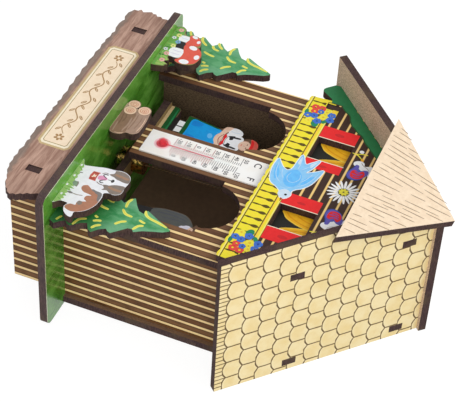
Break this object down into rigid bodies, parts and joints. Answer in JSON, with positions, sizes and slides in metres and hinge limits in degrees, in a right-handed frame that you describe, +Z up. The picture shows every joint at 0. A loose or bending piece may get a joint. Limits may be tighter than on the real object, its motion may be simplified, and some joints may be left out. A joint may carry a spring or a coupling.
{
  "type": "weather house thermometer hygrometer",
  "caption": "Small laser-cut wooden weather house with a thermometer on its centre pillar and two figures on a beam that turns on a gut string with the damp of the air.",
  "frame": {"origin": "middle of the whole house seen from above, on the surface that the plinth stands on; the house's own middle plane is 0.9 mm towards +X of it, because one fir reaches past the roof", "axes": "+Z up, front towards -Y, +X to the viewer's right when facing the front"},
  "size_m": [0.1352, 0.0692, 0.162],
  "materials": {
    "lawn_print": "glossy print of grass on board, dark cut edges",
    "wall_print": "satin print of brown planks with cream lines, dark cut edges",
    "front_print": "satin print of brown planks with cream lines, dark cut edges",
    "rear_board": "bare brown fibre board",
    "facade_print": "glossy print of a yellow balcony, red shutters and green verge",
    "sign_wood": "satin print of weathered wood with a cream plate",
    "shingle_board": "pale veneer with engraved shingles, dark cut edges",
    "hip_board": "pale veneer with engraved short strokes, dark cut edges",
    "strip_white": "satin white scale with black marks",
    "glass": "clear glass",
    "spirit_red": "red spirit",
    "dog_print": "glossy print of a brown and white dog on board",
    "log_print": "glossy print of cut logs on board",
    "mushroom_print": "glossy print of red mushrooms on board",
    "fir_print": "glossy print of green fir branches on board",
    "bare_board": "bare brown fibre board",
    "beam_board": "bare light board",
    "woman_print": "glossy print of a woman in an apron on board",
    "man_print": "glossy print of a man in a grey coat on board",
    "brass": "turned brass",
    "steel": "plated steel",
    "gut": "dry twisted gut",
    "peg_brass": "turned brass"
  },
  "bodies": {
    "house": {"lawn": "lawn_print", "wall_left": "wall_print", "wall_right": "wall_print", "front_wall": "front_print", "rear_wall": "rear_board", "facade": "facade_print", "sign_board": "sign_wood", "roof_left": "shingle_board", "roof_right": "shingle_board", "hip_panel": "hip_board", "thermometer_strip": "strip_white", "thermometer_tube": "glass", "thermometer_spirit": "spirit_red", "dog": "dog_print", "log_pile": "log_print", "mushrooms": "mushroom_print", "tree_left": "fir_print", "tree_right": "fir_print", "gut_bridge": "bare_board", "guide_pin": "brass"},
    "adjuster": {"adjusting_peg": "peg_brass", "peg_washer": "brass"},
    "swing": {"beam": "beam_board", "woman": "woman_print", "man": "man_print", "balance_weight": "brass", "gut_clamp": "brass", "clamp_screw": "steel", "gut_string": "gut"}
  },
  "joints": [
    {"name": "swing_turn", "type": "hinge", "parent": "house", "child": "swing", "pos_m": [0.0009, -0.0046, 0.0284], "axis": [0, 0, 1], "range_deg": [-35, 35]},
    {"name": "peg_turn", "type": "hinge", "parent": "house", "child": "adjuster", "pos_m": [0.0009, -0.0046, 0.1234], "axis": [0, 0, 1], "range_deg": [-180, 180]}
  ]
}
